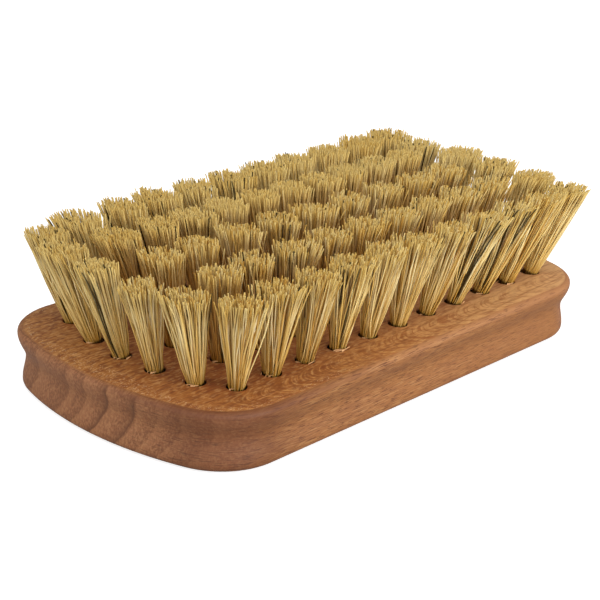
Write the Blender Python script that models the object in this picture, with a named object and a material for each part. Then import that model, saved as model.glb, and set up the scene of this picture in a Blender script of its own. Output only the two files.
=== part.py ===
"""Shoe-cleaning hand brush: a one-piece beech block, drilled and filled with hog-bristle tufts.

The block lies on its flat back, its length along X and its width along Y. The bristles
stand up along +Z. The origin is on the back face, under the middle of the block.
All lengths are in metres.
"""

import math
import random

import bmesh
import bpy
from mathutils import Matrix, Vector

MM = 0.001

# The block, seen from above: straight long sides, bowed ends, rounded corners.
BLOCK_LENGTH = 120.0 * MM
BLOCK_WIDTH = 63.0 * MM
BLOCK_THICKNESS = 12.2 * MM
END_BOW = 7.5 * MM
CORNER_RADIUS = 14.4 * MM

# The moulding round the edge: a finger groove between an upper and a lower lip. Depths are
# measured inwards from the upper lip, heights up from the back, the drop down from the face.
LIP_DROP = 1.2 * MM
LIP_ROUNDING = 1.9 * MM
GROOVE_HEIGHT = 6.2 * MM
GROOVE_DEPTH = 1.55 * MM
BASE_LIP_HEIGHT = 1.5 * MM
BASE_LIP_DEPTH = 0.9 * MM
BASE_ROUNDING = 1.95 * MM

# Blind holes, drilled fanwise: seen from the side, each aims at a line far below the face.
HOLE_DIAMETER = 3.8 * MM
HOLE_FLOOR = 3.0 * MM
DRILL_POINT = 1.0 * MM
DRILL_OVERRUN = 2.0 * MM
LENGTH_FAN_RADIUS = 148.0 * MM
WIDTH_FAN_RADIUS = 89.0 * MM

# The tuft field: five rows along the block, and a short column inside each bowed end. Every
# row runs from one gap to the other, measured in from the block's ends or long sides.
ROW_SIDE_GAP = 10.3 * MM
FRONT_LEFT_GAP = 17.0 * MM
FRONT_RIGHT_GAP = 13.0 * MM
INNER_FRONT_LEFT_GAP = 23.5 * MM
INNER_FRONT_RIGHT_GAP = 22.5 * MM
MIDDLE_LEFT_GAP = 22.0 * MM
MIDDLE_RIGHT_GAP = 22.0 * MM
INNER_BACK_LEFT_GAP = 24.35 * MM
INNER_BACK_RIGHT_GAP = 20.95 * MM
BACK_LEFT_GAP = 15.4 * MM
BACK_RIGHT_GAP = 11.85 * MM
COLUMN_END_GAP = 11.0 * MM
LEFT_COLUMN_FRONT_GAP = 16.5 * MM
LEFT_COLUMN_BACK_GAP = 20.2 * MM
RIGHT_COLUMN_FRONT_GAP = 19.0 * MM
RIGHT_COLUMN_BACK_GAP = 17.8 * MM

# A tuft: bristle folded over a flat wire anchor, packed in its hole and trimmed level.
BRISTLE_LENGTH = 19.2 * MM
TUFT_TIP_GAP = 0.65 * MM
TRIM_UNEVENNESS = 0.7 * MM
ROOT_CLEARANCE = 0.35 * MM
ROOT_RECESS = 0.5 * MM
ROOT_FOLD = 0.35 * MM
ANCHOR_THICKNESS = 0.4 * MM
ANCHOR_DROP = 0.9 * MM
STRAND_SPLIT = 0.08 * MM
AXIS_MERGE = 0.004 * MM

# Counts and angles, which stay as they are when the sizes change. Rows count out from the middle.
OUTER_ROW = 2
FRONT_COUNT = 11
INNER_FRONT_COUNT = 9
MIDDLE_COUNT = 9
INNER_BACK_COUNT = 10
BACK_COUNT = 11
COLUMN_COUNT = 4
STRANDS_PER_TUFT = 8
TURNS_OF_A_TUFT = 4
HOLE_SIDES = 12
END_STEPS = 6
CORNER_STEPS = 7
ROUNDING_STEPS = 4
GROOVE_STEPS = 6
BLOCK_SHARP_ANGLE = math.radians(30)
TUFT_SHARP_ANGLE = math.radians(50)
TRIM_SEED = 5


def clear_scene():
    for leftover in list(bpy.data.objects):
        bpy.data.objects.remove(leftover, do_unlink=True)


def principled(name, colour, roughness, metallic):
    material = bpy.data.materials.new(name)
    material.use_nodes = True
    shader = material.node_tree.nodes["Principled BSDF"]
    shader.inputs["Base Color"].default_value = (*colour, 1.0)
    shader.inputs["Roughness"].default_value = roughness
    shader.inputs["Metallic"].default_value = metallic
    material.diffuse_color = (*colour, 1.0)
    return material


def beech_wood():
    """Oiled beech, a warm pinkish tan."""
    return principled("beech_wood", (0.434, 0.188, 0.068), 0.55, 0.0)


def hog_bristle():
    """Unbleached hog bristle, straw blond."""
    return principled("hog_bristle", (0.584, 0.413, 0.171), 0.5, 0.0)


def add_object(name, bm):
    """Turns the mesh's normals outwards and puts it in the scene."""
    mesh = bpy.data.meshes.new(name)
    bmesh.ops.recalc_face_normals(bm, faces=bm.faces[:])
    bm.to_mesh(mesh)
    bm.free()
    made = bpy.data.objects.new(name, mesh)
    bpy.context.scene.collection.objects.link(made)
    return made


def finish_piece(piece, material, sharp_angle):
    piece.data.materials.append(material)
    piece.data.shade_smooth()
    piece.data.set_sharp_from_angle(angle=sharp_angle)


def end_arc_radius():
    """Radius of the bowed end, from its bow over the block's full width."""
    half_width = BLOCK_WIDTH / 2
    return (half_width**2 + END_BOW**2) / (2 * END_BOW)


def quarter_outline(inset):
    """Points from the middle of the +X end round to the long side, this far inside the lip."""
    arc_radius = end_arc_radius()
    arc_centre_x = BLOCK_LENGTH / 2 - arc_radius
    corner_y = BLOCK_WIDTH / 2 - CORNER_RADIUS
    reach = arc_radius - CORNER_RADIUS
    corner_x = arc_centre_x + math.sqrt(reach**2 - corner_y**2)
    meeting = math.asin(corner_y / reach)
    points = []
    for step in range(END_STEPS):
        angle = meeting * step / END_STEPS
        radius = arc_radius - inset
        points.append((arc_centre_x + radius * math.cos(angle), radius * math.sin(angle)))
    for step in range(CORNER_STEPS + 1):
        angle = meeting + (math.pi / 2 - meeting) * step / CORNER_STEPS
        radius = CORNER_RADIUS - inset
        points.append((corner_x + radius * math.cos(angle), corner_y + radius * math.sin(angle)))
    return points


def block_outline(inset):
    """The closed outline, anticlockwise from the middle of the +X end."""
    quarter = quarter_outline(inset)
    upper_left = [(-x, y) for x, y in reversed(quarter)]
    lower_left = [(-x, -y) for x, y in quarter[1:]]
    lower_right = [(x, -y) for x, y in reversed(quarter[1:])]
    return quarter + upper_left + lower_left + lower_right


def edge_moulding():
    """Pairs of depth and height up the edge, from the back face to the bristle face."""
    levels = []
    for step in range(ROUNDING_STEPS):
        angle = math.pi / 2 * step / ROUNDING_STEPS
        depth = BASE_LIP_DEPTH + BASE_ROUNDING * (1 - math.sin(angle))
        levels.append((depth, BASE_LIP_HEIGHT * (1 - math.cos(angle))))
    for step in range(GROOVE_STEPS):
        blend = (1 - math.cos(math.pi * step / GROOVE_STEPS)) / 2
        depth = BASE_LIP_DEPTH + (GROOVE_DEPTH - BASE_LIP_DEPTH) * blend
        height = BASE_LIP_HEIGHT + (GROOVE_HEIGHT - BASE_LIP_HEIGHT) * step / GROOVE_STEPS
        levels.append((depth, height))
    for step in range(GROOVE_STEPS):
        blend = (1 + math.cos(math.pi * step / GROOVE_STEPS)) / 2
        height = GROOVE_HEIGHT + (lip_height() - GROOVE_HEIGHT) * step / GROOVE_STEPS
        levels.append((GROOVE_DEPTH * blend, height))
    for step in range(ROUNDING_STEPS + 1):
        angle = math.pi / 2 * step / ROUNDING_STEPS
        height = lip_height() + LIP_DROP * math.sin(angle)
        levels.append((LIP_ROUNDING * (1 - math.cos(angle)), height))
    return levels


def outline_loop(bm, depth, height):
    """One closed loop of edges round the block."""
    verts = [bm.verts.new((x, y, height)) for x, y in block_outline(depth)]
    following = verts[1:] + verts[:1]
    return [bm.edges.new(pair) for pair in zip(verts, following)]


def make_block(material, drill):
    """The block is lofted up its moulding, then drilled."""
    bm = bmesh.new()
    loops = [outline_loop(bm, depth, height) for depth, height in edge_moulding()]
    for lower, upper in zip(loops, loops[1:]):
        bmesh.ops.bridge_loops(bm, edges=lower + upper)
    bmesh.ops.contextual_create(bm, geom=loops[0])
    bmesh.ops.contextual_create(bm, geom=loops[-1])
    block = add_object("beech_block", bm)
    finish_piece(block, material, BLOCK_SHARP_ANGLE)
    drilling = block.modifiers.new("tuft_holes", "BOOLEAN")
    drilling.operation = "DIFFERENCE"
    drilling.solver = "EXACT"
    drilling.object = drill


def lip_height():
    return BLOCK_THICKNESS - LIP_DROP


def hole_depth():
    """Down to where the drill's point begins, with solid wood left under it."""
    return BLOCK_THICKNESS - HOLE_FLOOR - DRILL_POINT


def spread_evenly(low, high, count):
    """Evenly spaced numbers from low to high, both ends among them."""
    return [low + (high - low) * index / (count - 1) for index in range(count)]


def row_places(name, row, count, left_gap, right_gap):
    """Places of one row along the block, as (name, x, y)."""
    y = (BLOCK_WIDTH / 2 - ROW_SIDE_GAP) * row / OUTER_ROW
    across = spread_evenly(left_gap - BLOCK_LENGTH / 2, BLOCK_LENGTH / 2 - right_gap, count)
    return [(f"{name}_{index + 1:02d}", x, y) for index, x in enumerate(across)]


def column_places(name, end, front_gap, back_gap):
    """Places that follow a bowed end, inside it; end is 1 at +X and -1 at -X."""
    radius = end_arc_radius() - COLUMN_END_GAP
    centre_x = BLOCK_LENGTH / 2 - end_arc_radius()
    upward = spread_evenly(front_gap - BLOCK_WIDTH / 2, BLOCK_WIDTH / 2 - back_gap, COLUMN_COUNT)
    places = []
    for index, y in enumerate(upward):
        x = end * (centre_x + math.sqrt(radius**2 - y**2))
        places.append((f"{name}_{index + 1:02d}", x, y))
    return places


def tuft_places():
    return (
        row_places("tuft_front", -2, FRONT_COUNT, FRONT_LEFT_GAP, FRONT_RIGHT_GAP)
        + row_places(
            "tuft_inner_front", -1, INNER_FRONT_COUNT, INNER_FRONT_LEFT_GAP, INNER_FRONT_RIGHT_GAP
        )
        + row_places("tuft_middle", 0, MIDDLE_COUNT, MIDDLE_LEFT_GAP, MIDDLE_RIGHT_GAP)
        + row_places(
            "tuft_inner_back", 1, INNER_BACK_COUNT, INNER_BACK_LEFT_GAP, INNER_BACK_RIGHT_GAP
        )
        + row_places("tuft_back", 2, BACK_COUNT, BACK_LEFT_GAP, BACK_RIGHT_GAP)
        + column_places("tuft_left_end", -1, LEFT_COLUMN_FRONT_GAP, LEFT_COLUMN_BACK_GAP)
        + column_places("tuft_right_end", 1, RIGHT_COLUMN_FRONT_GAP, RIGHT_COLUMN_BACK_GAP)
    )


def tip_diameter(places):
    """The tufts' spread at the trim: their two nearest tips stay one gap apart."""
    length_spread = 1 + BRISTLE_LENGTH / LENGTH_FAN_RADIUS
    width_spread = 1 + BRISTLE_LENGTH / WIDTH_FAN_RADIUS
    tips = [(x * length_spread, y * width_spread) for _, x, y in places]
    nearest = min(math.dist(tip, other) for at, tip in enumerate(tips) for other in tips[:at])
    return nearest - TUFT_TIP_GAP


def hole_frame(x, y):
    """Frame at a hole's mouth, with its Z axis out along the hole."""
    direction = Vector((x / LENGTH_FAN_RADIUS, y / WIDTH_FAN_RADIUS, 1.0))
    turn = direction.to_track_quat("Z", "Y").to_matrix().to_4x4()
    return Matrix.Translation((x, y, BLOCK_THICKNESS)) @ turn


def revolve(bm, profile, steps):
    """Spins (radius, height) points once round Z, and gives back the new vertices."""
    older = set(bm.verts)
    verts = [bm.verts.new((radius, 0, height)) for radius, height in profile]
    edges = [bm.edges.new(pair) for pair in zip(verts, verts[1:])]
    bmesh.ops.spin(
        bm,
        geom=verts + edges,
        cent=(0, 0, 0),
        axis=(0, 0, 1),
        angle=2 * math.pi,
        steps=steps,
        use_merge=True,
    )
    newer = [vert for vert in bm.verts if vert not in older]
    on_axis = [vert for vert in newer if vert.co.xy.length < AXIS_MERGE]
    bmesh.ops.remove_doubles(bm, verts=on_axis, dist=AXIS_MERGE)
    return [vert for vert in newer if vert.is_valid]


def make_drill(places):
    """Every hole's drill bit in one hidden cutter: a cylinder with a pointed end."""
    bm = bmesh.new()
    radius = HOLE_DIAMETER / 2
    profile = (
        (0, -hole_depth() - DRILL_POINT),
        (radius, -hole_depth()),
        (radius, DRILL_OVERRUN),
        (0, DRILL_OVERRUN),
    )
    for _, x, y in places:
        bit = revolve(bm, profile, HOLE_SIDES)
        bmesh.ops.transform(bm, matrix=hole_frame(x, y), verts=bit)
    drill = add_object("drill_bits", bm)
    drill.hide_render = True
    drill.display_type = "WIRE"
    return drill


def packed_root(bm, turn):
    """The folded end of a tuft. Its top is a fan of triangles; gives back its foot face."""
    radius = HOLE_DIAMETER / 2 - ROOT_CLEARANCE
    foot = ANCHOR_DROP + ROOT_CLEARANCE - hole_depth()
    profile = (
        (radius - ROOT_FOLD, foot),
        (radius, foot + ROOT_FOLD),
        (radius, -ROOT_RECESS),
        (0, -ROOT_RECESS),
    )
    root = revolve(bm, profile, STRANDS_PER_TUFT)
    bmesh.ops.transform(bm, matrix=Matrix.Rotation(turn, 4, "Z"), verts=root)
    rim = [edge for edge in bm.edges if edge.is_boundary]
    return bmesh.ops.contextual_create(bm, geom=rim)["faces"]


def add_anchor(bm, foot):
    """The flat wire that the bristle is folded over: a strip of the foot, drawn down."""
    half = ANCHOR_THICKNESS / 2
    for side in (-1, 1):
        edges = dict.fromkeys(edge for face in foot for edge in face.edges)
        verts = dict.fromkeys(vert for face in foot for vert in face.verts)
        cut = bmesh.ops.bisect_plane(
            bm,
            geom=list(verts) + list(edges) + foot,
            plane_co=(0, side * half, 0),
            plane_no=(0, 1, 0),
        )
        foot = [item for item in cut["geom"] if isinstance(item, bmesh.types.BMFace)]
    strip = [face for face in foot if abs(face.calc_center_median().y) < half / 2]
    drawn = bmesh.ops.extrude_face_region(bm, geom=strip)
    lower = [item for item in drawn["geom"] if isinstance(item, bmesh.types.BMVert)]
    bmesh.ops.delete(bm, geom=strip, context="FACES_ONLY")
    bmesh.ops.translate(bm, verts=lower, vec=(0, 0, -ANCHOR_DROP))


def draw_out_strands(bm, frame, tip_spread, rng):
    """Each triangle of the root's top runs up as one strand, to a level trim."""
    top = [face for face in bm.faces if len(face.verts) == 3]
    bmesh.ops.inset_individual(bm, faces=top, thickness=STRAND_SPLIT)
    strands = bmesh.ops.extrude_discrete_faces(bm, faces=top)["faces"]
    flare = tip_spread / (HOLE_DIAMETER - 2 * ROOT_CLEARANCE)
    upward = frame.to_3x3()[2]
    for strand in strands:
        trimmed = BRISTLE_LENGTH - TRIM_UNEVENNESS * rng.random()
        for vert in strand.verts:
            vert.co.x *= flare
            vert.co.y *= flare
            vert.co.z = (trimmed - upward.x * vert.co.x - upward.y * vert.co.y) / upward.z


def make_tuft(name, x, y, number, tip_spread, material):
    bm = bmesh.new()
    turn = 2 * math.pi / STRANDS_PER_TUFT * (number % TURNS_OF_A_TUFT) / TURNS_OF_A_TUFT
    foot = packed_root(bm, turn)
    add_anchor(bm, foot)
    frame = hole_frame(x, y)
    draw_out_strands(bm, frame, tip_spread, random.Random(TRIM_SEED + number))
    tuft = add_object(name, bm)
    tuft.matrix_world = frame
    finish_piece(tuft, material, TUFT_SHARP_ANGLE)


def build_brush():
    clear_scene()
    places = tuft_places()
    drill = make_drill(places)
    make_block(beech_wood(), drill)
    bristle = hog_bristle()
    tip_spread = tip_diameter(places)
    for number, (name, x, y) in enumerate(places):
        make_tuft(name, x, y, number, tip_spread, bristle)
    print(f"{len(places)} tufts with {len(places) * STRANDS_PER_TUFT} strands")


build_brush()
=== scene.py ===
# %% [markdown]
# # A shoe-cleaning brush of beech and hog bristle
# The object is a palm-sized hand brush: one block of beech with a finger groove round its edge, drilled
# fanwise, and every hole packed with a tuft of hog bristle. This notebook dresses the plain construction
# model. It makes three kinds of piece: the wooden block, the curls of torn wood at the holes, and
# the tufts, one object each.
# The construction model is loaded first. It gives the frame, in metres, that every piece is placed in.

import math
import random

import bmesh
import bpy
from mathutils import Matrix, Vector


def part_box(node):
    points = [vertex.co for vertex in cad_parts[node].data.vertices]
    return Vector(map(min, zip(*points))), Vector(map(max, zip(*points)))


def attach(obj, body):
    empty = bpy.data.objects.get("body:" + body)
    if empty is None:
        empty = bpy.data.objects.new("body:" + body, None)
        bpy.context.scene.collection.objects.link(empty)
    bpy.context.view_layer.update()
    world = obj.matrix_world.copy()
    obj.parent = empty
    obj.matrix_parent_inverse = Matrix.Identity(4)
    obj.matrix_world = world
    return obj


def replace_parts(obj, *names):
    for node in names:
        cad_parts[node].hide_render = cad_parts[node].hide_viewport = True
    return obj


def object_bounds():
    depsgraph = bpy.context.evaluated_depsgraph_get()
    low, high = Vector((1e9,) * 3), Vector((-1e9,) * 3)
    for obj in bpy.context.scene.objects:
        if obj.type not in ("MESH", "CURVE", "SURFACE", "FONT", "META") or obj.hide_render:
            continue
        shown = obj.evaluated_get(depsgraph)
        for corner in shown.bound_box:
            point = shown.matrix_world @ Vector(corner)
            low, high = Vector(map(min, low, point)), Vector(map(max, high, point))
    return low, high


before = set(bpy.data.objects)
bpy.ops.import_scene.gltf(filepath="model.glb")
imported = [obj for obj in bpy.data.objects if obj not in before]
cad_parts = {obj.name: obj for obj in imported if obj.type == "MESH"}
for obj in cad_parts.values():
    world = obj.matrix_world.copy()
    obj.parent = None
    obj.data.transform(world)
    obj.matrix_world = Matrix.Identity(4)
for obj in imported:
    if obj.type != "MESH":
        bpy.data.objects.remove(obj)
cad_low, cad_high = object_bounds()
print("construction model, mm:", [round(1000 * side, 1) for side in cad_high - cad_low])

# %% [markdown]
# ## Sizes
# All sizes are real ones, in millimetres turned to metres. The block's length, width and thickness come
# from the construction model, and the others repeat its driving dimensions. Each end of the block is a
# shallow arc, and a smaller arc rounds each corner. Their centres are worked out here, because the
# outline, the end columns of tufts and the grain near the edge are all measured from them.

# %% Size and curves of the block
MM = 0.001
block_low, block_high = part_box("beech_block")
LENGTH = block_high.x - block_low.x
WIDTH = block_high.y - block_low.y
FACE = block_high.z

END_BOW = 7.5 * MM
END_ARC = ((WIDTH / 2) ** 2 + END_BOW**2) / (2 * END_BOW)
END_CENTRE = LENGTH / 2 - END_ARC

CORNER_RADIUS = 14.4 * MM
CORNER_REACH = END_ARC - CORNER_RADIUS
CORNER_Y = WIDTH / 2 - CORNER_RADIUS
CORNER_X = END_CENTRE + math.sqrt(CORNER_REACH**2 - CORNER_Y**2)
print(f"block {LENGTH / MM:.1f} x {WIDTH / MM:.1f} x {FACE / MM:.1f} mm")
print(f"corners rounded about {CORNER_X / MM:.1f} and {CORNER_Y / MM:.1f} mm from the middle")

# %% [markdown]
# ## Where the tufts stand
# A drilled brush has its holes in rows. Here there are five rows along the block, each with a spacing of
# its own, and a short column that follows each bowed end. The drill is aimed from two far lines, so it
# leans outwards, more so towards the edges, and the tufts fan. One function turns a hole's place on the
# face into a frame whose Z axis runs out along the hole.

# %% Places of the holes
ROW_SIDE_GAP = 10.3 * MM
# Name, row counted from the middle, holes, and the gaps from the left and right ends of the block.
ROWS = (
    ("front", -2, 11, 17.0 * MM, 13.0 * MM),
    ("inner_front", -1, 9, 23.5 * MM, 22.5 * MM),
    ("middle", 0, 9, 22.0 * MM, 22.0 * MM),
    ("inner_back", 1, 10, 24.35 * MM, 20.95 * MM),
    ("back", 2, 11, 15.4 * MM, 11.85 * MM),
)
# Name, end, and the gaps from the front and back sides.
COLUMNS = (("left_end", -1, 16.5 * MM, 20.2 * MM), ("right_end", 1, 19.0 * MM, 17.8 * MM))
COLUMN_COUNT = 4
COLUMN_END_GAP = 11.0 * MM


def spread_evenly(low, high, count):
    """Evenly spaced numbers from low to high, both ends among them."""
    return [low + (high - low) * index / (count - 1) for index in range(count)]


def hole_places():
    """(name, x, y) of every hole on the bristle face."""
    places = []
    for name, row, count, left_gap, right_gap in ROWS:
        y = (WIDTH / 2 - ROW_SIDE_GAP) * row / 2
        for index, x in enumerate(spread_evenly(left_gap - LENGTH / 2, LENGTH / 2 - right_gap, count)):
            places.append((f"{name}_{index + 1:02d}", x, y))
    for name, end, front_gap, back_gap in COLUMNS:
        for index, y in enumerate(spread_evenly(front_gap - WIDTH / 2, WIDTH / 2 - back_gap, COLUMN_COUNT)):
            x = END_CENTRE + math.sqrt((END_ARC - COLUMN_END_GAP) ** 2 - y**2)
            places.append((f"{name}_{index + 1:02d}", end * x, y))
    return places


HOLES = hole_places()
print(len(HOLES), "holes")

# %% Slant of the holes
LENGTH_FAN_RADIUS = 148.0 * MM
WIDTH_FAN_RADIUS = 89.0 * MM


def hole_frame(x, y):
    """Frame at a hole's mouth: its Z axis runs out along the hole, X and Y stay near the block's."""
    direction = Vector((x / LENGTH_FAN_RADIUS, y / WIDTH_FAN_RADIUS, 1.0))
    turn = Vector((0, 0, 1)).rotation_difference(direction)
    return Matrix.Translation((x, y, FACE)) @ turn.to_matrix().to_4x4()


steepest = max(abs(hole_frame(x, y).to_euler().y) for _, x, y in HOLES)
print(f"the end holes lean {math.degrees(steepest):.0f} degrees outwards")

# %% [markdown]
# ## Camera
# The photograph was taken from the front left, a little above the tips, with a long lens. The camera is
# placed by its own axes, which were worked out from the block's edges. Depth of field stays off, and the
# view transform is the plain one, so a colour renders as it is written.

# %% Camera
CAMERA_PLACE = Vector((-234.66, -203.41, 131.67)) * MM
CAMERA_RIGHT = Vector((0.6732, -0.7379, 0.0481)).normalized()
CAMERA_FORWARD = Vector((0.7004, 0.6153, -0.3617)).normalized()
FOCAL_PIXELS = 1640.9
IMAGE_PIXELS = 600
SENSOR = 36.0

camera_data = bpy.data.cameras.new("photo_camera")
camera_data.sensor_width = SENSOR
camera_data.lens = FOCAL_PIXELS / IMAGE_PIXELS * SENSOR
camera_data.clip_start = 0.01
camera = bpy.data.objects.new("photo_camera", camera_data)
camera_up = CAMERA_RIGHT.cross(CAMERA_FORWARD)
camera_turn = Matrix((CAMERA_RIGHT, camera_up, -CAMERA_FORWARD)).transposed()
camera.matrix_world = Matrix.Translation(CAMERA_PLACE) @ camera_turn.to_4x4()
bpy.context.scene.collection.objects.link(camera)
bpy.context.scene.camera = camera
bpy.context.scene.view_settings.view_transform = "Standard"
print(f"lens {camera_data.lens:.1f} mm")

# %% [markdown]
# ## Colours and nodes
# Three small helpers serve every material. One turns an sRGB hex colour into the linear numbers that
# shaders use. One adds a node, sets its properties and fills its inputs in a single call. The third
# starts a material.

# %% Colour and node helpers


def hex_colour(code):
    """An sRGB hex colour as linear red, green, blue and alpha."""
    shares = [int(code[at : at + 2], 16) / 255 for at in (1, 3, 5)]
    linear = [s / 12.92 if s <= 0.04045 else ((s + 0.055) / 1.055) ** 2.4 for s in shares]
    return (*linear, 1.0)


def add_node(tree, kind, inputs=None, stops=None, **settings):
    """Adds a node. Each input is a value, a socket, or a node whose first output is meant."""
    node = tree.nodes.new(kind)
    for name, value in settings.items():
        setattr(node, name, value)
    for key, value in (inputs or {}).items():
        source = value.outputs[0] if isinstance(value, bpy.types.Node) else value
        if isinstance(source, bpy.types.NodeSocket):
            tree.links.new(source, node.inputs[key])
        else:
            node.inputs[key].default_value = source
    if stops:
        elements = node.color_ramp.elements
        elements[0].position, elements[0].color = stops[0]
        elements[1].position, elements[1].color = stops[-1]
        for position, colour in stops[1:-1]:
            elements.new(position).color = colour
    return node


def new_material(name):
    """A material with its node tree and its Principled shader."""
    material = bpy.data.materials.new(name)
    material.use_nodes = True
    return material, material.node_tree, material.node_tree.nodes["Principled BSDF"]


print("half grey is", round(hex_colour("#808080")[0], 3), "in linear light")

# %% [markdown]
# ## Light
# The light is that of a white tent, brighter in front than behind: the fronts of the tufts are as bright
# as their tips, and the gaps between them stay dark. One broad lamp stands low on the right, because the
# long side is brighter than the left end, and a weak one above lights the tips. Only the camera sees the
# world as plain white. A lift that only the camera sees makes the grey floor white too, and the floor
# still takes the brush's shadow.

# %% Lamps
# Name, place and side in metres, and power in watts.
LAMPS = (
    ("right_lamp", (0.10, -0.63, 0.22), 0.45, 2.6),
    ("top_lamp", (0.30, -0.05, 0.45), 0.50, 0.4),
)
for name, place, side, power in LAMPS:
    lamp_data = bpy.data.lights.new(name, "AREA")
    lamp_data.size = side
    lamp_data.energy = power
    lamp = bpy.data.objects.new(name, lamp_data)
    lamp.location = place
    lamp.rotation_euler = (-Vector(place)).to_track_quat("-Z", "Y").to_euler()
    bpy.context.scene.collection.objects.link(lamp)
print(len(LAMPS), "lamps")

# %% Room
ROOM_FRONT = Vector((-0.73, -0.67, 0.1))
ROOM_BEHIND = 0.1
ROOM_BEFORE = 1.6
WHITE = (1, 1, 1, 1)

world = bpy.data.worlds.new("studio")
bpy.context.scene.world = world
world.use_nodes = True
sky = world.node_tree
sky.nodes.clear()
path = add_node(sky, "ShaderNodeLightPath")
way = add_node(sky, "ShaderNodeTexCoord")
nearness = add_node(
    sky, "ShaderNodeVectorMath", {0: way.outputs["Generated"], 1: ROOM_FRONT}, operation="DOT_PRODUCT"
)
glow = add_node(
    sky,
    "ShaderNodeMapRange",
    {"Value": nearness.outputs["Value"], 1: -1.0, 2: 1.0, 3: ROOM_BEHIND, 4: ROOM_BEFORE},
)
room = add_node(sky, "ShaderNodeBackground", {"Color": WHITE, "Strength": glow})
white = add_node(sky, "ShaderNodeBackground", {"Color": WHITE, "Strength": 1.0})
either = add_node(sky, "ShaderNodeMixShader", {0: path.outputs["Is Camera Ray"], 1: room, 2: white})
add_node(sky, "ShaderNodeOutputWorld", {"Surface": either})
print("room of light from", ROOM_BEHIND, "behind to", ROOM_BEFORE, "before")

# %% Floor
FLOOR_GREY = 0.55
FLOOR_LIFT = 0.75
FLOOR_SIDE = 3.0

floor_material, paper, plain_shader = new_material("studio_paper")
paper.nodes.remove(plain_shader)
path = add_node(paper, "ShaderNodeLightPath")
diffuse = add_node(paper, "ShaderNodeBsdfDiffuse", {"Color": (FLOOR_GREY,) * 3 + (1,)})
lift = add_node(
    paper, "ShaderNodeMath", {0: path.outputs["Is Camera Ray"], 1: FLOOR_LIFT}, operation="MULTIPLY"
)
glow = add_node(paper, "ShaderNodeEmission", {"Strength": lift})
both = add_node(paper, "ShaderNodeAddShader", {0: diffuse, 1: glow})
paper.links.new(both.outputs[0], paper.nodes["Material Output"].inputs["Surface"])

floor_bm = bmesh.new()
bmesh.ops.create_grid(floor_bm, x_segments=1, y_segments=1, size=FLOOR_SIDE / 2)
floor_mesh = bpy.data.meshes.new("floor")
floor_bm.to_mesh(floor_mesh)
floor_bm.free()
floor_mesh.materials.append(floor_material)
floor = bpy.data.objects.new("floor", floor_mesh)
floor.location.z = cad_low.z
bpy.context.scene.collection.objects.link(floor)
print(f"floor {FLOOR_SIDE} m square at {floor.location.z} m")

# %% [markdown]
# ## The beech
# Oiled European beech is a warm reddish-brown hardwood, known by its rays: sheets of cells that stand out
# from the pith, about 2 mm long with the grain, a few tenths thick and several millimetres deep. Each
# face of the block cuts them another way, so each has its own noise, stretched to fit: short dark
# dashes on the long sides, a fine hatching on the ends, and flecks on the bristle face.
# All patterns are worked out in millimetres from Object coordinates, so they run on round every edge.
# The pores of beech are about 0.06 mm wide and would not show, so the fibre noise that stands for them
# is drawn about four times as coarse.

# %% Grains
# Name, grain size in millimetres along X, Y and Z, detail, and how far the wandering noise moves it.
GRAINS = (
    ("drift", (34, 7, 5), 3.0, (0.2, 0.2, 0.2)),
    ("fibre", (4, 0.26, 0.26), 2.0, (0.2, 0.6, 0.6)),
    ("streak", (7, 0.8, 0.7), 2.0, (0.2, 0.8, 0.8)),
    ("dash", (2.6, 3.0, 0.15), 1.0, (0.2, 0.2, 0.5)),
    ("fleck", (2.8, 0.75, 6.0), 1.5, (0.3, 2.6, 0.2)),
    ("ripple", (1.3, 0.6, 2.0), 1.0, (1.5, 2.5, 0.2)),
    ("hatch", (1.0, 0.4, 0.55), 1.5, (0.2, 0.6, 0.6)),
    ("loose", (0.3, 0.22, 0.22), 0.0, (0.0, 0.0, 0.0)),
)
SLOW_SIZE = (9, 6, 4)


def wood_grains(tree, place):
    """One slow noise, and by name the grains that it moves a little, so that no line is straight."""
    slow_at = add_node(
        tree, "ShaderNodeMapping", {"Vector": place, "Scale": [1 / side for side in SLOW_SIZE]}
    )
    slow = add_node(tree, "ShaderNodeTexNoise", {"Vector": slow_at, "Scale": 1.0, "Detail": 1.0})
    grain = {}
    for name, size, detail, sway in GRAINS:
        at = add_node(tree, "ShaderNodeMapping", {"Vector": place, "Scale": [1 / side for side in size]})
        at = add_node(
            tree,
            "ShaderNodeVectorMath",
            {0: slow.outputs["Color"], 1: sway, 2: at},
            operation="MULTIPLY_ADD",
        )
        grain[name] = add_node(
            tree, "ShaderNodeTexNoise", {"Vector": at, "Scale": 1.0, "Detail": detail, "Roughness": 0.6}
        )
    return slow, grain


print("grains:", *(grain[0] for grain in GRAINS))

# %% [markdown]
# ## Growth rings
# The growth rings meet the ends as soft bands that darken outwards and stop at a line. Each ring stands
# upright at the bristle face and leans over towards the back. A ramp holds where the rings end, and a
# high power of it leaves only their dark lines. Sizes are in millimetres.

# %% Growth rings
# Where each growth ring ends along the block's end, in millimetres, and how dark it is there.
RINGS = (
    (-36.0, 0.5),
    (-26.0, 0.6),
    (-15.5, 0.7),
    (-5.2, 0.8),
    (0.0, 0.7),
    (5.5, 1.0),
    (12.3, 1.0),
    (16.6, 0.6),
    (21.2, 0.6),
    (26.5, 0.6),
    (34.0, 0.5),
)
# The ramp's span, the share of a ring that darkens, the width of its edge, and its palest value.
RING_RANGE = 80.0
RING_BAND = 0.6
RING_EDGE = 0.2
RING_PALE = 0.1
# How much the rings lean with depth, and how far they move sideways, evenly and by the slow noise.
RING_SAG = 0.041
RING_SHIFT = -0.9
RING_WANDER = 1.6
RING_LINE_POWER = 8.0


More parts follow.
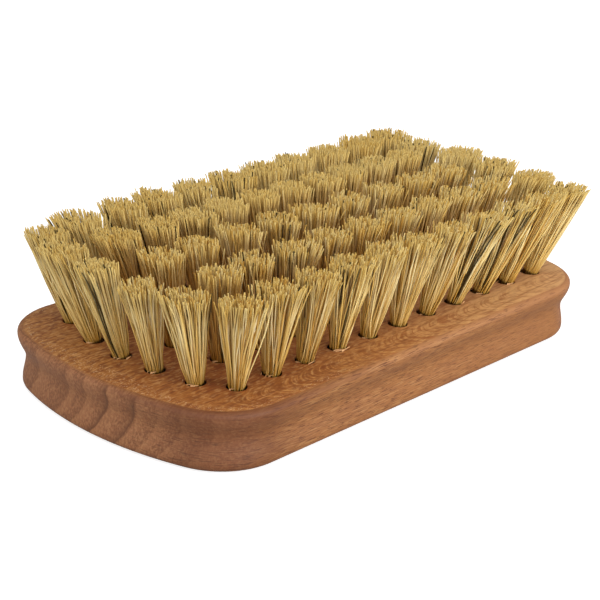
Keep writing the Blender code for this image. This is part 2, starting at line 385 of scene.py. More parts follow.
def ring_stops():
    """Ramp stops that darken slowly across each growth ring and end at a sharp line."""
    stops = [(0.0, (RING_PALE, RING_PALE, RING_PALE, 1))]
    for (before, _), (place, dark) in zip(RINGS, RINGS[1:]):
        soft = place - RING_BAND * (place - before)
        for spot, shade in ((soft, RING_PALE), (place - RING_EDGE, dark), (place, 0.0)):
            stops.append((spot / RING_RANGE + 0.5, (shade, shade, shade, 1)))
    return stops


def growth_rings(tree, axes, slow):
    """How dark the growth rings are, as bands and as lines alone."""
    depth = add_node(tree, "ShaderNodeMath", {0: FACE / MM, 1: axes.outputs[2]}, operation="SUBTRACT")
    depth = add_node(tree, "ShaderNodeMath", {0: depth, 1: depth}, operation="MULTIPLY")
    way = add_node(
        tree, "ShaderNodeMath", {0: depth, 1: RING_SAG, 2: RING_SHIFT}, operation="MULTIPLY_ADD"
    )
    way = add_node(tree, "ShaderNodeMath", {0: way, 1: axes.outputs[1]}, operation="SUBTRACT")
    way = add_node(tree, "ShaderNodeMath", {0: slow, 1: RING_WANDER, 2: way}, operation="MULTIPLY_ADD")
    share = add_node(
        tree, "ShaderNodeMath", {0: way, 1: 1 / RING_RANGE, 2: 0.5}, operation="MULTIPLY_ADD"
    )
    band = add_node(tree, "ShaderNodeValToRGB", {"Fac": share}, stops=ring_stops())
    line = add_node(tree, "ShaderNodeMath", {0: band, 1: RING_LINE_POWER}, operation="POWER")
    return band, line


print(len(ring_stops()), "stops for", len(RINGS) - 1, "growth rings")

# %% [markdown]
# ## The torn border
# The cutter that levelled the bristle face tore the wood a little near its long border, where the grain
# shows as nested arcs. They are lines of equal x less a parabola, close together near the left corner and
# wider apart along the side. They need to know how far a point lies inside the block's outline, which
# is folded into one quarter and measured from the centre of its rounded corner.

# %% Place inside the outline, and border arcs
# A height above every point, so that height plays no part in the distance.
ABOVE_ALL = 99.0
# How far inside the outline the arcs are centred, how they bend, how long they are, and their pitches.
ARC_LINE = 4.3
ARC_CURVE = -0.4
ARC_LENGTH = 4
ARCS = (("close_arc", 0.55), ("wide_arc", 1.0))


def outline_measures(tree, place):
    """How far a point lies inside the block's outline, and how far the outline faces sideways."""
    centre = (CORNER_X / MM, CORNER_Y / MM, ABOVE_ALL)
    folded = add_node(tree, "ShaderNodeVectorMath", {0: place}, operation="ABSOLUTE")
    corner = add_node(tree, "ShaderNodeVectorMath", {0: folded, 1: centre}, operation="SUBTRACT")
    corner = add_node(tree, "ShaderNodeVectorMath", {0: corner, 1: (0, 0, 0)}, operation="MAXIMUM")
    reach = add_node(tree, "ShaderNodeVectorMath", {0: corner}, operation="LENGTH")
    inside = add_node(
        tree, "ShaderNodeMath", {0: CORNER_RADIUS / MM, 1: reach.outputs["Value"]}, operation="SUBTRACT"
    )
    outward = add_node(tree, "ShaderNodeVectorMath", {0: corner}, operation="NORMALIZE")
    return inside, add_node(tree, "ShaderNodeSeparateXYZ", {0: outward}).outputs[1]


def border_arcs(tree, inside, along):
    """The noises of the nested arcs, by name."""
    off_line = add_node(tree, "ShaderNodeMath", {0: inside, 1: ARC_LINE}, operation="SUBTRACT")
    parabola = add_node(tree, "ShaderNodeMath", {0: off_line, 1: off_line}, operation="MULTIPLY")
    way = add_node(
        tree, "ShaderNodeMath", {0: parabola, 1: ARC_CURVE, 2: along}, operation="MULTIPLY_ADD"
    )
    arcs = {}
    for name, pitch in ARCS:
        at = add_node(tree, "ShaderNodeCombineXYZ", {0: way, 1: inside})
        at = add_node(tree, "ShaderNodeMapping", {"Vector": at, "Scale": (1 / pitch, 1 / ARC_LENGTH, 1)})
        arcs[name] = add_node(
            tree, "ShaderNodeTexNoise", {"Vector": at, "Scale": 1.0, "Detail": 1.5, "Distortion": 0.3}
        )
    return arcs


print("arcs along a line", ARC_LINE, "mm inside the outline")

# %% [markdown]
# ## Painting in layers
# The colours are painted in layers. Each layer has a colour, a share, and the measures that limit it: a
# measure fades the layer in from a low value to a high one, or out if the first is the higher. The
# places are in millimetres, and the noises run from 0 to 1 about a middle of 0.5.

# %% Layers


def layered_colour(tree, ground, layers):
    """Paints the layers over the ground colour; gives back the last layer's mix node."""
    painted = hex_colour(ground)
    for code, share, limits in layers:
        amount = share
        for measure, low, high in limits:
            fade = add_node(
                tree,
                "ShaderNodeMapRange",
                {"Value": measure, 1: low, 2: high},
                interpolation_type="SMOOTHSTEP",
            )
            amount = add_node(tree, "ShaderNodeMath", {0: amount, 1: fade}, operation="MULTIPLY")
        mix = add_node(
            tree, "ShaderNodeMix", {0: amount, 6: painted, 7: hex_colour(code)}, data_type="RGBA"
        )
        painted = mix.outputs[2]
    return painted


print("each layer takes a mix node, and two nodes more for each measure")

# %% [markdown]
# ## Oiled beech
# The lip along the right part of the long side carries a painted highlight, a paler band. The front left
# corner, the lip beside it and the left front of the bristle face are darkened with painted shade, and so
# is the face between the tufts. The face is painted lighter towards its right end, and its ground, lighter
# than the sides', is partly painted light from above. Loose fibres catch the light, and the walls of the
# holes are painted nearly black, mostly as painted shade deep in them and partly as the drill's scorching.
# Thin oil leaves wood satin, so the roughness is high. A weak bump raises the
# fibres a little and sinks the dashes of the rays.

# %% Oiled beech


def beech_material():
    """Oiled beech, moulded and fine-sanded, satin."""
    material, tree, shader = new_material("oiled_beech")
    texture = add_node(tree, "ShaderNodeTexCoord")
    place = add_node(
        tree, "ShaderNodeVectorMath", {0: texture.outputs["Object"], "Scale": 1 / MM}, operation="SCALE"
    )
    axes = add_node(tree, "ShaderNodeSeparateXYZ", {0: place})
    along, across, height = axes.outputs
    facing = add_node(tree, "ShaderNodeSeparateXYZ", {0: texture.outputs["Normal"]})
    endwise = add_node(tree, "ShaderNodeMath", {0: facing}, operation="ABSOLUTE")
    inside, sideways = outline_measures(tree, place)
    slow, grain = wood_grains(tree, place)
    grain.update(border_arcs(tree, inside, along))
    ring, ring_line = growth_rings(tree, axes, slow)

    on_end = (endwise, 0.08, 0.55)
    on_side = (endwise, 0.9, 0.1)
    on_face = (height, FACE / MM - 0.14, FACE / MM - 0.01)
    off_face = (height, FACE / MM - 0.01, FACE / MM - 0.14)
    ring_end = ((endwise, 0.35, 0.85), off_face)
    border = (on_face, (sideways, 0.55, 0.9), (across, 5, -5), (inside, 8.0, 5.6))
    border_left = (*border, (along, -8, -24))
    border_right = (*border, (along, -24, -8))
    layers = (
        ("#935E3A", 1.0, (on_end,)),
        ("#80502D", 0.34, ((grain["drift"], 0.35, 0.70),)),
        ("#764727", 0.30, ((grain["streak"], 0.53, 0.68),)),
        ("#BE8F58", 0.32, (on_side, (along, 70, -20), (grain["fibre"], 0.52, 0.64))),
        ("#754623", 0.30, (on_side, (grain["fibre"], 0.48, 0.36))),
        ("#AC7C50", 0.50, (on_end, (grain["hatch"], 0.52, 0.62))),
        ("#633D24", 0.45, (on_end, (grain["hatch"], 0.47, 0.38))),
        ("#A67148", 0.40, ((ring, 0.16, 0.0), *ring_end)),
        ("#6B3F21", 0.55, ((ring, 0.1, 1.0), *ring_end)),
        ("#4A2812", 0.50, ((ring_line, 0.0, 0.7), *ring_end)),
        # Painted highlight: a paler band along the lip of the long side, stronger towards the right.
        ("#C89468", 0.18, (off_face, (height, 10.6, 11.6), on_side, (along, -35, 10))),
        # Painted shade: the front left corner is darker all the way down, and the lip along the front left
        # more so.
        ("#5E2E0D", 0.60, (off_face, (along, -30, -48), (across, -12, -24))),
        ("#5E2E0D", 0.45, (off_face, (height, 10.4, 11.4), (along, -10, -35), (across, 0, -14))),
        ("#5A2D0E", 0.85, ((grain["dash"], 0.57, 0.61), (height, 12.6, 11.6), (along, 115, -30), on_side)),
        ("#46240F", 0.50, ((grain["dash"], 0.57, 0.64), (height, 12.0, 10.4), (across, -4, -16), on_end)),
        # The bristle face's ground is a lighter gold than the long sides, partly as painted light from
        # above.
        ("#AA7038", 1.0, (on_face,)),
        # Painted light: the face grows lighter towards the right end, where the light is stronger.
        ("#D6AA76", 0.64, (on_face, (along, -20, 45))),
        ("#80461D", 0.60, (on_face, (grain["streak"], 0.48, 0.66))),
        ("#D2A162", 0.35, (on_face, (grain["fibre"], 0.52, 0.66))),
        # Painted shade: the face is darker between the tufts, from about 7 mm inside the outline.
        ("#874722", 0.40, (on_face, (inside, 7.0, 10.0))),
        # Painted shade: the face is darker at its left front, away from the light on the right.
        ("#864511", 0.45, (on_face, (along, -12, -32), (across, 8, -10))),
        ("#6E3416", 0.60, (on_face, (along, 90, -45), (grain["fleck"], 0.52, 0.60))),
        ("#E3B478", 0.24, (on_face, (along, 60, -44), (grain["ripple"], 0.52, 0.66))),
        ("#6E3418", 0.35, (on_face, (along, 60, -44), (grain["ripple"], 0.48, 0.34))),
        ("#7E441B", 0.60, (*border_left, (grain["close_arc"], 0.46, 0.58))),
        ("#D8A25E", 0.28, (*border_left, (grain["close_arc"], 0.46, 0.34))),
        ("#8A4A1E", 0.65, (*border_right, (along, 90, -10), (grain["wide_arc"], 0.50, 0.60))),
        ("#DBA768", 0.20, (*border_right, (grain["wide_arc"], 0.48, 0.32))),
        ("#F0CFA4", 0.35, (on_face, (inside, 3.4, 2.2), (along, -10, -30), (grain["loose"], 0.66, 0.73))),
        # The walls of the holes are painted nearly black: mostly painted shade deep in them, partly the
        # drill's scorching.
        ("#1A0F09", 0.95, ((inside, 3.2, 3.6), (height, 12.05, 11.5), (height, 0.3, 1.0))),
    )
    tree.links.new(layered_colour(tree, "#945F2F", layers), shader.inputs["Base Color"])
    shader.inputs["IOR"].default_value = 1.45
    shader.inputs["Roughness"].default_value = 0.6

    relief = add_node(tree, "ShaderNodeMath", {0: grain["fibre"], 1: grain["dash"]}, operation="SUBTRACT")
    bump = add_node(tree, "ShaderNodeBump", {"Height": relief, "Strength": 0.3, "Distance": 0.1 * MM})
    tree.links.new(bump.outputs[0], shader.inputs["Normal"])
    return material


BEECH = beech_material()
print("material:", BEECH.name, "with", len(BEECH.node_tree.nodes), "nodes")

# %% [markdown]
# ## The block
# A moulded block is made on a spindle: the cutter's profile runs all round the outline. The same idea
# works in mesh code. One closed outline is made at each height of the profile, set in by the depth of the
# profile there, and bridge_loops skins them. The bristle face is filled between the outline and
# the mouths of the holes with triangle_fill, so no Boolean is needed, and each mouth is then extruded
# down along its own slanting axis.

# %% Outline
END_STEPS = 14
CORNER_STEPS = 18


def quarter_outline(inset):
    """Points from the middle of the +X end round to the long side, this far inside the upper lip."""
    meeting = math.asin(CORNER_Y / CORNER_REACH)
    points = []
    for step in range(END_STEPS):
        angle = meeting * step / END_STEPS
        radius = END_ARC - inset
        points.append((END_CENTRE + radius * math.cos(angle), radius * math.sin(angle)))
    for step in range(CORNER_STEPS + 1):
        angle = meeting + (math.pi / 2 - meeting) * step / CORNER_STEPS
        radius = CORNER_RADIUS - inset
        points.append((CORNER_X + radius * math.cos(angle), CORNER_Y + radius * math.sin(angle)))
    return points


def block_outline(inset):
    """The closed outline, anticlockwise from the middle of the +X end."""
    quarter = quarter_outline(inset)
    upper_left = [(-x, y) for x, y in reversed(quarter)]
    lower_left = [(-x, -y) for x, y in quarter[1:]]
    lower_right = [(x, -y) for x, y in reversed(quarter[1:])]
    return quarter + upper_left + lower_left + lower_right


print(len(block_outline(0)), "points round the block")

# %% Moulding
LIP_HEIGHT = FACE - 1.2 * MM
LIP_ROUNDING = 1.9 * MM
GROOVE_HEIGHT = 6.2 * MM
GROOVE_DEPTH = 1.55 * MM
BASE_LIP_HEIGHT = 1.5 * MM
BASE_LIP_DEPTH = 0.9 * MM
BASE_ROUNDING = 1.95 * MM
ROUNDING_STEPS = 8
GROOVE_STEPS = 12


def edge_moulding():
    """Depth and height pairs up the edge, from the back face to the bristle face."""
    levels = []
    for step in range(ROUNDING_STEPS):
        angle = math.pi / 2 * step / ROUNDING_STEPS
        depth = BASE_LIP_DEPTH + BASE_ROUNDING * (1 - math.sin(angle))
        levels.append((depth, BASE_LIP_HEIGHT * (1 - math.cos(angle))))
    for step in range(GROOVE_STEPS):
        blend = (1 - math.cos(math.pi * step / GROOVE_STEPS)) / 2
        depth = BASE_LIP_DEPTH + (GROOVE_DEPTH - BASE_LIP_DEPTH) * blend
        levels.append((depth, BASE_LIP_HEIGHT + (GROOVE_HEIGHT - BASE_LIP_HEIGHT) * step / GROOVE_STEPS))
    for step in range(GROOVE_STEPS):
        blend = (1 + math.cos(math.pi * step / GROOVE_STEPS)) / 2
        height = GROOVE_HEIGHT + (LIP_HEIGHT - GROOVE_HEIGHT) * step / GROOVE_STEPS
        levels.append((GROOVE_DEPTH * blend, height))
    for step in range(ROUNDING_STEPS + 1):
        angle = math.pi / 2 * step / ROUNDING_STEPS
        height = LIP_HEIGHT + (FACE - LIP_HEIGHT) * math.sin(angle)
        levels.append((LIP_ROUNDING * (1 - math.cos(angle)), height))
    return levels


print(len(edge_moulding()), "levels up the edge")

# %% Drilled holes
HOLE_RADIUS = 1.9 * MM
HOLE_DEPTH = 8.2 * MM
MOUTH_STEPS = 28
MOUTH_BEVEL = 0.12 * MM


def mouth_loop(bm, x, y):
    """The edges of one hole's mouth on the face: the drill's circle, cut slantwise by the face."""
    turn = hole_frame(x, y)
    along = turn.to_3x3() @ Vector((0, 0, 1))
    made = bmesh.ops.create_circle(bm, segments=MOUTH_STEPS, radius=HOLE_RADIUS + MOUTH_BEVEL)
    bmesh.ops.transform(bm, matrix=turn, verts=made["verts"])
    for vert in made["verts"]:
        vert.co -= along * (vert.co.z - FACE) / along.z
    return list(dict.fromkeys(edge for vert in made["verts"] for edge in vert.link_edges)), along


def drill_down(bm, rim, along):
    """Extrudes a mouth's rim: a broken edge first, then the wall, closed by a flat bottom."""
    for travel, shrink in ((MOUTH_BEVEL, True), (HOLE_DEPTH, False)):
        made = bmesh.ops.extrude_edge_only(bm, edges=rim)["geom"]
        verts = [item for item in made if isinstance(item, bmesh.types.BMVert)]
        rim = [item for item in made if isinstance(item, bmesh.types.BMEdge) and item.is_boundary]
        centre = sum((vert.co for vert in verts), Vector()) / len(verts)
        for vert in verts:
            if shrink:
                vert.co += (centre - vert.co).normalized() * MOUTH_BEVEL
            vert.co -= along * travel
    bmesh.ops.contextual_create(bm, geom=rim)


print(f"holes {2 * HOLE_RADIUS / MM:.1f} mm wide and {HOLE_DEPTH / MM:.1f} mm deep")

# %% Block
SHARP_ANGLE = math.radians(35)


def add_piece(name, bm, material):
    """Makes the bmesh an object that rides on the brush's one body."""
    mesh = bpy.data.meshes.new(name)
    bm.to_mesh(mesh)
    bm.free()
    mesh.materials.append(material)
    piece = bpy.data.objects.new(name, mesh)
    bpy.context.scene.collection.objects.link(piece)
    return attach(piece, "root")


def beech_block():
    bm = bmesh.new()
    loops = []
    for depth, height in edge_moulding():
        verts = [bm.verts.new((x, y, height)) for x, y in block_outline(depth)]
        loops.append([bm.edges.new(pair) for pair in zip(verts, verts[1:] + verts[:1])])
    for lower, upper in zip(loops, loops[1:]):
        bmesh.ops.bridge_loops(bm, edges=lower + upper)
    bmesh.ops.contextual_create(bm, geom=loops[0])
    mouths = [mouth_loop(bm, x, y) for _, x, y in HOLES]
    rims = [edge for rim, _ in mouths for edge in rim]
    bmesh.ops.triangle_fill(bm, edges=loops[-1] + rims, use_beauty=True)
    for rim, along in mouths:
        drill_down(bm, rim, along)
    bmesh.ops.recalc_face_normals(bm, faces=bm.faces[:])
    block = add_piece("drilled_block", bm, BEECH)
    block.data.shade_smooth()
    block.data.set_sharp_from_angle(angle=SHARP_ANGLE)
    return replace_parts(block, "beech_block")


BLOCK = beech_block()
print(len(BLOCK.data.polygons), "faces in the block")

# %% [markdown]
# ## Torn curls at the holes
# A drill that comes out of the wood lifts a few fibres at the rim, mostly where it cuts against the
# grain. They stay as small pale curls. Each one is a thin cross-section spun part of the way round the
# mouth of the hole while it rises, then narrowed to a point, as a shaving is.

# %% Torn beech


def curl_material():
    """Freshly torn beech: matt, paler than the oiled surface, with the fibre's own streaks."""
    material, tree, shader = new_material("torn_beech")
    texture = add_node(tree, "ShaderNodeTexCoord")
    # Per metre, so the streaks are about 1.1 mm long and 0.25 mm thick.
    streak_at = add_node(
        tree, "ShaderNodeMapping", {"Vector": texture.outputs["Object"], "Scale": (900, 4000, 4000)}
    )
    streak = add_node(tree, "ShaderNodeTexNoise", {"Vector": streak_at, "Scale": 1.0, "Detail": 1.0})
    shade = add_node(
        tree,
        "ShaderNodeValToRGB",
        {"Fac": streak},
        stops=((0.3, hex_colour("#B07C4A")), (0.7, hex_colour("#E2B682"))),
    )
    tree.links.new(shade.outputs[0], shader.inputs["Base Color"])
    shader.inputs["Roughness"].default_value = 0.7
    shader.inputs["IOR"].default_value = 1.45
    return material


TORN_BEECH = curl_material()
print("material:", TORN_BEECH.name)

# %% Curls
# A curl's height above the face and its narrowing and flare towards the tip, as shares.
CURL_STEPS = 8
CURL_LIFT = 0.35
CURL_TAPER = 0.75
CURL_FLARE = 0.5
# How many curls a hole may have, how likely each is, and the side that they gather on.
CURLS_TRIED = 3
CURL_SHARE = 0.55
AGAINST_GRAIN = math.radians(180)


def add_curl(bm, turn, radius, start, sweep, rise, width, thickness):
    """One shaving: a small section spun about the mouth, rising and tapering to its tip."""
    before = set(bm.verts)
    made = bmesh.ops.create_grid(bm, x_segments=1, y_segments=1, size=0.5)["verts"]
    stand = Matrix.Translation((radius, 0, CURL_LIFT * width)) @ Matrix.Rotation(math.pi / 2, 4, "X")
    bmesh.ops.transform(bm, matrix=stand @ Matrix.Diagonal((thickness, width, 1, 1)), verts=made)
    section = list(dict.fromkeys(face for vert in made for face in vert.link_faces))
    edges = list(dict.fromkeys(edge for face in section for edge in face.edges))
    bmesh.ops.spin(
        bm,
        geom=section + edges + made,
        cent=(0, 0, 0),
        axis=(0, 0, 1),
        dvec=(0, 0, rise / CURL_STEPS),
        angle=sweep,
        steps=CURL_STEPS,
    )
    shaving = [vert for vert in bm.verts if vert not in before]
    for vert in shaving:
        share = math.atan2(vert.co.y, vert.co.x) / sweep
        outward = Vector((math.cos(share * sweep), math.sin(share * sweep), 0))
        middle = outward * radius + Vector((0, 0, CURL_LIFT * width + rise * share))
        vert.co = middle + (vert.co - middle) * (1 - CURL_TAPER * share)
        vert.co += outward * CURL_FLARE * rise * share**2
    bmesh.ops.transform(bm, matrix=turn @ Matrix.Rotation(start, 4, "Z"), verts=shaving)


def torn_curls():
    rng = random.Random(77)
    bm = bmesh.new()
    for _, x, y in HOLES:
        for _ in range(CURLS_TRIED):
            if rng.random() > CURL_SHARE:
                continue
            add_curl(
                bm,
                Matrix.Translation((x, y, FACE)),
                radius=HOLE_RADIUS + rng.uniform(0.2, 0.4) * MM,
                start=rng.gauss(AGAINST_GRAIN, math.radians(35)),
                sweep=rng.uniform(0.25, 0.7),
                rise=rng.uniform(0.2, 0.7) * MM,
                width=rng.uniform(0.2, 0.4) * MM,
                thickness=rng.uniform(0.12, 0.24) * MM,
            )
    bmesh.ops.recalc_face_normals(bm, faces=bm.faces[:])
    curls = add_piece("torn_curls", bm, TORN_BEECH)
    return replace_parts(curls, "beech_block")


CURLS = torn_curls()
print(len(CURLS.data.polygons), "faces in the torn curls")

# %% [markdown]
# ## The bristle
# Hog bristle is a stiff natural hair, about 0.2 mm thick, straw blond with a paler tip, and a few in every
# tuft are dark brown or black. A tuft holds two to three hundred. One of them is about a pixel wide
# here, too fine to show well, so they are drawn 0.28 mm thick, and about 175 to a tuft of plain size.
# Each one is a three-sided prism with a few bends, which is all that shows at this size, and it
# carries four numbers of its own in a vertex attribute: a random tone, how far along it a point
# lies, how dark it is, and how much others shade it.
#
# The material reads those numbers. Light reaches an inner hair, or a tuft between others, through its
# neighbours, which filter it to a warmer colour, so a warm tint stands for that. Some light also enters
# every hair and comes out golden next to the gloss, so the gloss is weakened and tinted yellow.

# %% Hog bristle material
BRISTLE_DATA = "bristle_data"
TONES = ((0.0, "#C89848"), (0.25, "#ECC876"), (0.55, "#FAE2A0"), (1.0, "#FDEEC2"))
# Painted shade along each hair: near black just above the hole, darker over the lower part where other
# hairs shade it, lightest at seven tenths of the way up, and a little darker, greyer cream at the tip.
LENGTHWISE = (
    (0.0, "#4A371F"),
    (0.025, "#C4AC7C"),
    (0.2, "#F2E8D0"),
    (0.7, "#FFFFFF"),
    (1.0, "#D8CEB2"),
)


def bristle_material():
    """Hog bristle: satin keratin, blond with paler tips and some dark hairs."""
    material, tree, shader = new_material("hog_bristle_blond")
    data = add_node(tree, "ShaderNodeAttribute", attribute_name=BRISTLE_DATA)
    parts = add_node(tree, "ShaderNodeSeparateColor", {0: data.outputs["Color"]})
    tone, shade = (
        add_node(
            tree,
            "ShaderNodeValToRGB",
            {"Fac": parts.outputs[channel]},
            stops=[(at, hex_colour(code)) for at, code in stops],
        )
        for channel, stops in enumerate((TONES, LENGTHWISE))
    )
    blond = add_node(
        tree, "ShaderNodeMix", {0: 1.0, 6: tone, 7: shade}, data_type="RGBA", blend_type="MULTIPLY"
    )
    # Painted shade: a warm darkening, by the fourth number, where other hairs shade a point.
    warm_shade = add_node(
        tree,
        "ShaderNodeMix",
        {0: data.outputs["Alpha"], 6: blond.outputs[2], 7: hex_colour("#C09458")},
        data_type="RGBA",
        blend_type="MULTIPLY",
    )
    hair = add_node(
        tree,
        "ShaderNodeMix",
        {0: parts.outputs[2], 6: warm_shade.outputs[2], 7: hex_colour("#140E0A")},
        data_type="RGBA",
    )
    tree.links.new(hair.outputs[2], shader.inputs["Base Color"])
    shader.inputs["Specular IOR Level"].default_value = 0.25
    shader.inputs["Specular Tint"].default_value = hex_colour("#F0CE88")
    shader.inputs["Roughness"].default_value = 0.42
    shader.inputs["IOR"].default_value = 1.5
    return material


BRISTLE = bristle_material()
print("material:", BRISTLE.name)

# %% [markdown]
# ## The tufts
# One straight hair is made once, by extruding a triangle up through a few rings, and kept as a small mesh.
# A tuft is that mesh added once for each of its hairs. After each copy its rings are moved onto that
# hair's own curve: packed at the hole, spread at the tip, a little bowed, and cut near the trim height.
# Hairs that were bent together stay together, so each tuft parts into a dozen locks. The tips at the
# back and at the right end look closed and even against the backdrop, so those tufts are cut straighter
# and hold more hairs. Every tuft has its own seed, so all differ and every run gives the same brush.

# %% One hair
HAIR_RADIUS = 0.14 * MM
HAIR_SHARES = (-0.10, 0.0, 0.22, 0.45, 0.68, 0.88, 1.0)
HAIR_SIDES = 3


def hair_template():
    """A three-sided prism whose rings lie at heights 0, 1, 2 and so on."""
    bm = bmesh.new()
    bmesh.ops.create_circle(bm, segments=HAIR_SIDES, radius=HAIR_RADIUS, cap_ends=True)
    tip = list(bm.faces)
    for ring in range(1, len(HAIR_SHARES)):
        drawn = bmesh.ops.extrude_face_region(bm, geom=tip)["geom"]
        if ring > 1:
            bmesh.ops.delete(bm, geom=tip, context="FACES_ONLY")
        tip = [item for item in drawn if isinstance(item, bmesh.types.BMFace)]
        verts = [item for item in drawn if isinstance(item, bmesh.types.BMVert)]
        bmesh.ops.translate(bm, verts=verts, vec=(0, 0, 1))
    bmesh.ops.recalc_face_normals(bm, faces=bm.faces[:])
    mesh = bpy.data.meshes.new("hair_template")
    bm.to_mesh(mesh)
    bm.free()
    return mesh


HAIR = hair_template()
print(len(HAIR.vertices), "vertices and", len(HAIR.polygons), "faces in one hair")

# %% Habits of single tufts
# Tufts that stand out of line: how far the tip is off the hole's axis along X and Y and how much longer
# the tuft is, in millimetres, and its breadth as a share of the others'.
HABITS = {
    "front_01": (0.5, -0.5, 0.0, 1.0),
    "front_03": (0.35, -0.35, 0.0, 1.0),
    "front_06": (-0.5, 0.55, 0.0, 1.0),
    "front_09": (0.35, -0.4, 0.0, 1.0),
    "front_11": (-0.55, 0.55, 0.0, 1.04),
    "left_end_02": (0.4, -0.4, -1.0, 1.0),
    "middle_01": (0.6, -0.65, 0.0, 1.0),
    "inner_front_01": (0.6, -0.65, 0.0, 1.0),
    "back_01": (2.0, -0.4, -1.2, 0.95),
    "back_02": (0.3, 0.0, -0.3, 1.2),
    "back_03": (1.1, 0.0, 0.0, 1.16),
    "back_04": (0.0, 0.0, 0.0, 1.1),
    "back_05": (0.0, 0.0, 0.0, 1.08),
    "inner_back_01": (-0.8, 0.3, 0.0, 1.1),
    "back_06": (0.0, 0.0, 0.0, 1.1),
    "back_07": (0.0, 0.0, 0.0, 1.1),
    "back_08": (-0.5, 0.0, 0.0, 1.1),
    "back_09": (-0.5, 0.0, 0.0, 1.12),
    "back_10": (0.2, -0.2, 0.0, 1.14),
    "back_11": (-0.7, 0.0, 0.0, 1.12),
    "right_end_01": (0.3, -0.3, 0.0, 1.1),
    "right_end_02": (-0.2, 0.3, 0.0, 1.14),
    "right_end_03": (0.2, -0.3, 0.0, 1.14),
    "right_end_04": (0.0, 0.0, 0.0, 1.1),
}
# Dark hairs that lie together on the viewer's side of a tuft.
DARK_LOCKS = {
    "front_04": 2,
    "front_08": 5,
    "front_09": 4,
    "left_end_03": 3,
    "back_01": 2,
    "inner_front_03": 3,
}
print(len(HABITS), "tufts out of line,", len(DARK_LOCKS), "with a dark lock")

# %% Shape of a tuft
TRIM_HEIGHT = cad_high.z
PACKED_RADIUS = 1.5 * MM
TIP_RADIUS = 4.05 * MM
TIP_LOBE = 0.06
BUNCHES = 7
BUNCHING = 0.12
STRAY_SHARE = 0.07
SMALLEST, LARGEST = 0.97, 1.07

# The outer hairs are shared among the first locks and the inner ones among the last, three in common.
SECTORS = 8
INNER_LOCKS = 5
INNER_EDGE = 0.6
LOCK_SPREAD = (0.4, 0.4, 0.17)

# Tufts in the front half are ragged, apart from its right end, and the others are half as ragged.
RAGGED_BACK, RAGGED_RIGHT = 1 * MM, 40 * MM
EVEN = 0.5

# Tufts in the middle of the field shade each other. In any tuft, shade starts at an edge part of the
# way out and deepens inwards, and it fades where a hair nears its tip.
CROWDED_HALF_LENGTH, CROWDED_HALF_WIDTH = 47 * MM, 15 * MM
CROWDING = 0.65
SHADE_EDGE, SHADE_SLOPE = 0.7, 2.5
TIP_SLOPE = 3.5

# How far a hair strays round and out of its place in the tuft, in radians and as a share.
TURN_SPREAD = 0.24
OUT_SPREAD = 0.09
OUT_MOST = 1.06

# How far a tuft leans and a hair strays at random, as spreads in millimetres of tip, bend and cut.
LEAN_SPREAD = 0.2
TIP_SPREAD = 0.12
STRAY_SPREAD = 1.3
BOW_SPREAD = 0.27
SWAY_SPREAD = 0.1
HOOK_SPREAD = 0.2
HOOK_POWER = 10
CUT_MEAN, CUT_SPREAD = -0.25, 0.12
CUT_LOWEST, CUT_HIGHEST = -1.5, 0.4
FLARE = 0.18


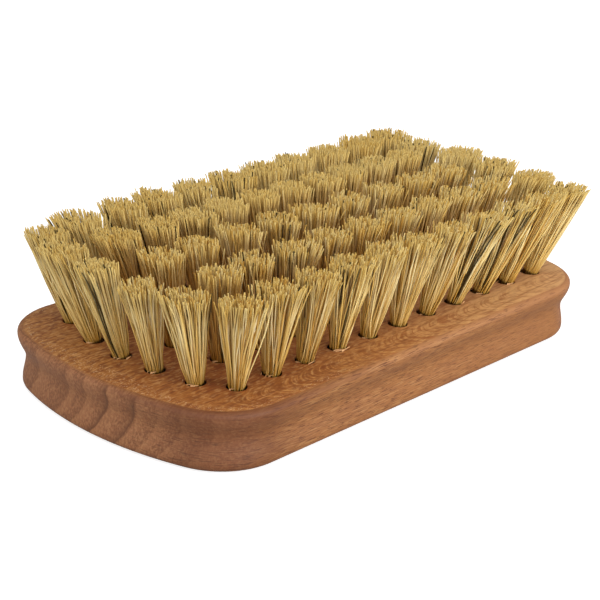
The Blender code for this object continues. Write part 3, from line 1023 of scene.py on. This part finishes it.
class Tuft:
    """The random habits that the hairs of one tuft share."""

    def __init__(self, number, name, x, y):
        self.rng = random.Random(1000 + number)
        self.turn = hole_frame(x, y)
        self.upward = self.turn.to_3x3()[2]
        lean_x, lean_y, self.longer, breadth = HABITS.get(name, (0.0, 0.0, 0.0, 1.0))
        self.lean = self.scatter(LEAN_SPREAD, LEAN_SPREAD) + Vector((lean_x, lean_y, 0)) * MM
        self.size = self.rng.uniform(SMALLEST, LARGEST) * breadth
        self.lobe = self.rng.random() * 2 * math.pi
        self.raggedness = 1.0 if y < RAGGED_BACK and x < RAGGED_RIGHT else EVEN
        crowded = abs(x) < CROWDED_HALF_LENGTH and abs(y) < CROWDED_HALF_WIDTH
        self.crowding = CROWDING if crowded else 0.0
        self.locks = [
            self.scatter(*LOCK_SPREAD) * self.raggedness for _ in range(SECTORS + INNER_LOCKS)
        ]

    def scatter(self, *spreads):
        """A random vector, with one spread in millimetres for each axis that it has."""
        return Vector([self.rng.gauss(0, spread) * MM for spread in spreads] + [0.0] * (3 - len(spreads)))

    def envelope(self, angle):
        """The tuft's reach at the trim, a little out of round."""
        return TIP_RADIUS * self.size * (1 + TIP_LOBE * math.cos(2 * (angle - self.lobe)))

    def shade(self, share_out, share):
        """How much other hairs shade a point, from 0 to 1, by its place across and up the tuft."""
        depth = max(min(SHADE_SLOPE * (SHADE_EDGE - share_out), 1.0), self.crowding)
        return depth * min(TIP_SLOPE * (1 - share), 1.0)

    def hair_curve(self, share_out, angle):
        """A function from a share of the way up to the hair's middle, in the hole's frame."""
        rng = self.rng
        angle += BUNCHING * math.sin(BUNCHES * angle + self.lobe)
        foot = Vector((math.cos(angle), math.sin(angle), 0)) * PACKED_RADIUS * share_out
        lean_angle = angle + rng.gauss(0, TURN_SPREAD)
        out = min(max(share_out + rng.gauss(0, OUT_SPREAD), 0.0), OUT_MOST) * self.envelope(lean_angle)
        sector = int(angle % (2 * math.pi) / (2 * math.pi) * SECTORS)
        lock = self.locks[sector + (0 if share_out > INNER_EDGE else INNER_LOCKS)]
        tip = Vector((math.cos(lean_angle), math.sin(lean_angle), 0)) * out + self.lean
        tip += Vector((lock.x, lock.y, 0)) + self.scatter(TIP_SPREAD, TIP_SPREAD)
        if rng.random() < STRAY_SHARE:
            tip += self.scatter(STRAY_SPREAD, STRAY_SPREAD) * self.raggedness
        bow = self.scatter(BOW_SPREAD, BOW_SPREAD)
        sway = self.scatter(SWAY_SPREAD, SWAY_SPREAD)
        hook = self.scatter(HOOK_SPREAD, HOOK_SPREAD) * self.raggedness
        cut = rng.gauss(CUT_MEAN, CUT_SPREAD * self.raggedness) + lock.z / MM
        cut = min(max(cut, CUT_LOWEST), CUT_HIGHEST) * MM + self.longer * MM
        slope = self.upward.x * tip.x + self.upward.y * tip.y
        reach = (TRIM_HEIGHT + cut - FACE - slope) / self.upward.z

        def middle(share):
            inside = max(share, 0.0)
            offset = foot.lerp(tip, (1 - FLARE) * inside + FLARE * inside**2)
            offset += bow * math.sin(math.pi * inside) + sway * math.sin(2 * math.pi * inside)
            offset += hook * inside**HOOK_POWER
            return Vector((offset.x, offset.y, reach * share))

        return middle


print(f"trimmed at {TRIM_HEIGHT / MM:.1f} mm, tips about {2 * TIP_RADIUS / MM:.1f} mm across")

# %% Tufts
HAIRS_PER_TUFT = 175
GOLDEN_ANGLE = math.pi * (3 - math.sqrt(5))
# A tuft's tone and its spread, and how much the tones of its hairs spread.
TUFT_TONE, TUFT_TONE_SPREAD = 0.48, 0.04
HAIR_TONE_SPREAD = 0.22
# The shares of dark hairs that a tuft may have, and where on its rim a dark lock lies.
DARK_SHARES = (0.0, 0.01, 0.02, 0.03, 0.04)
DARK_RIM = 0.8
DARK_SIDE = math.radians(205)
DARK_SIDE_COSINE = 0.9
# A hair is a little thicker at its root, and a dark one all along.
ROOT_THICKNESS = 1.08
TAPER = 0.2
DARK_EXTRA = 0.2


def make_tuft(number, name, x, y):
    tuft = Tuft(number, name, x, y)
    rng = tuft.rng
    bm = bmesh.new()
    data = bm.verts.layers.float_color.new(BRISTLE_DATA)
    start = rng.random() * 2 * math.pi
    dark_share = rng.choice(DARK_SHARES)
    dark_lock = DARK_LOCKS.get(name, 0)
    tuft_tone = rng.gauss(TUFT_TONE, TUFT_TONE_SPREAD)
    hairs = round(HAIRS_PER_TUFT * tuft.size**2 / tuft.raggedness**0.5)
    for index in range(hairs):
        share_out = math.sqrt((index + 0.5) / hairs)
        angle = start + index * GOLDEN_ANGLE
        middle = tuft.hair_curve(share_out, angle)
        tone = min(max(rng.gauss(tuft_tone, HAIR_TONE_SPREAD * tuft.raggedness), 0.0), 1.0)
        dark = rng.uniform(0.85, 1.0) if rng.random() < dark_share else 0.0
        if dark_lock and share_out > DARK_RIM and math.cos(angle - DARK_SIDE) > DARK_SIDE_COSINE:
            dark = 0.92
            dark_lock -= 1
        twist = Matrix.Rotation(rng.random() * math.pi, 3, "Z")
        before = len(bm.verts)
        bm.from_mesh(HAIR)
        bm.verts.ensure_lookup_table()
        for vert in bm.verts[before:]:
            share = HAIR_SHARES[round(vert.co.z)]
            thickness = ROOT_THICKNESS - TAPER * max(share, 0.0) + DARK_EXTRA * dark
            side = twist @ Vector((vert.co.x, vert.co.y, 0)) * thickness
            vert.co = tuft.turn @ (middle(share) + side)
            vert[data] = (tone, max(share, 0.0), dark, tuft.shade(share_out, share))
    piece = add_piece(f"bristles_{name}", bm, BRISTLE)
    piece.data.shade_smooth()
    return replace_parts(piece, f"tuft_{name}")


TUFTS = [make_tuft(number, *hole) for number, hole in enumerate(HOLES)]
print(len(TUFTS), "tufts,", sum(len(tuft.data.polygons) for tuft in TUFTS), "faces")
